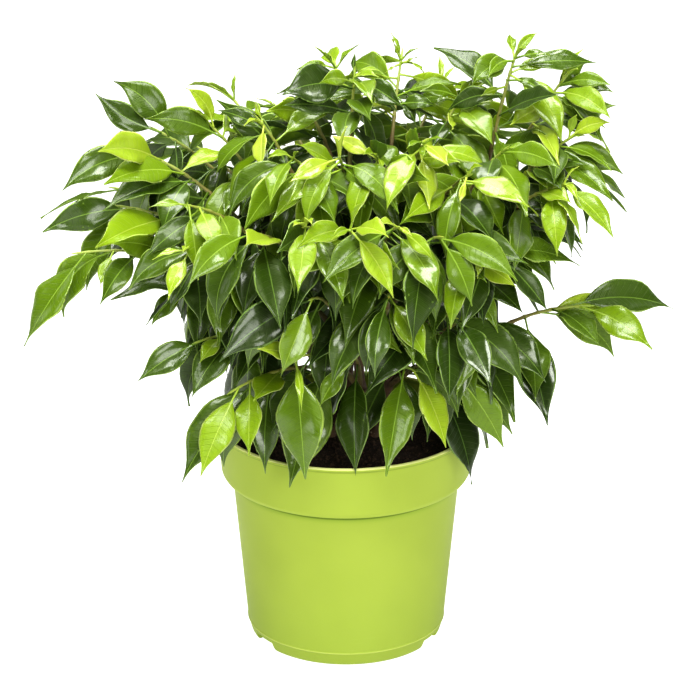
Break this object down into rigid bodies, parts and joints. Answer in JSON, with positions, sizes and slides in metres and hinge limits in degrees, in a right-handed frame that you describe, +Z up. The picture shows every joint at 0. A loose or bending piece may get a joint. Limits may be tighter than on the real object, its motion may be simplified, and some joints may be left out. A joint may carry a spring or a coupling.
{
  "type": "potted weeping fig",
  "caption": "Young weeping fig with drooping pointed leaves on forked stems, in a round tapered nursery pot with a tall rim band.",
  "frame": {"origin": "on the ground under the middle of the crown's box", "axes": "+Z up, -Y towards the side seen in the picture"},
  "size_m": [0.3154, 0.256, 0.3068],
  "materials": {
    "pot_plastic": "satin lime green moulded plastic",
    "soil": "damp dark peat mix, rough",
    "bark": "thin brown bark with pale pores",
    "leaf_old": "glossy dark green leaf",
    "leaf_mid": "glossy mid green leaf",
    "leaf_young": "glossy lime green young leaf"
  },
  "bodies": {
    "root": {"pot": "pot_plastic", "soil": "soil", "stem_left": "bark", "stem_centre": "bark", "stem_right": "bark", "stem_back": "bark", "spray_crest_1": "leaf_old", "spray_crest_2": "leaf_mid", "spray_crest_3": "leaf_young", "spray_crest_4": "leaf_mid", "spray_crest_5": "leaf_mid", "spray_crest_6": "leaf_mid", "spray_right_1": "leaf_mid", "spray_right_2": "leaf_young", "spray_right_3": "leaf_old", "spray_right_4": "leaf_old", "spray_right_5": "leaf_old", "spray_top_1": "leaf_mid", "spray_top_2": "leaf_mid", "spray_top_3": "leaf_young", "spray_top_4": "leaf_mid", "spray_top_5": "leaf_young", "spray_top_6": "leaf_young", "spray_top_7": "leaf_mid", "spray_left_1": "leaf_mid", "spray_left_2": "leaf_old", "spray_left_3": "leaf_mid", "spray_left_4": "leaf_mid", "spray_left_5": "leaf_old", "spray_left_6": "leaf_mid", "spray_left_7": "leaf_mid", "spray_front_1": "leaf_old", "spray_front_2": "leaf_mid", "spray_front_3": "leaf_young", "spray_front_4": "leaf_mid", "spray_front_5": "leaf_old", "spray_front_6": "leaf_young", "spray_low_1": "leaf_old", "spray_low_2": "leaf_old", "spray_low_3": "leaf_old", "spray_low_4": "leaf_mid", "spray_low_5": "leaf_old", "spray_low_6": "leaf_old", "spray_skirt_1": "leaf_mid", "spray_skirt_2": "leaf_mid", "spray_skirt_3": "leaf_old", "spray_skirt_4": "leaf_mid", "spray_skirt_5": "leaf_old", "spray_back_1": "leaf_old", "spray_back_2": "leaf_mid", "spray_back_3": "leaf_old", "spray_back_4": "leaf_mid", "spray_back_5": "leaf_mid", "spray_back_6": "leaf_old", "spray_back_7": "leaf_old", "spray_back_8": "leaf_mid", "spray_back_9": "leaf_old", "spray_back_10": "leaf_young", "spray_back_11": "leaf_mid", "spray_back_12": "leaf_mid"}
  },
  "joints": []
}
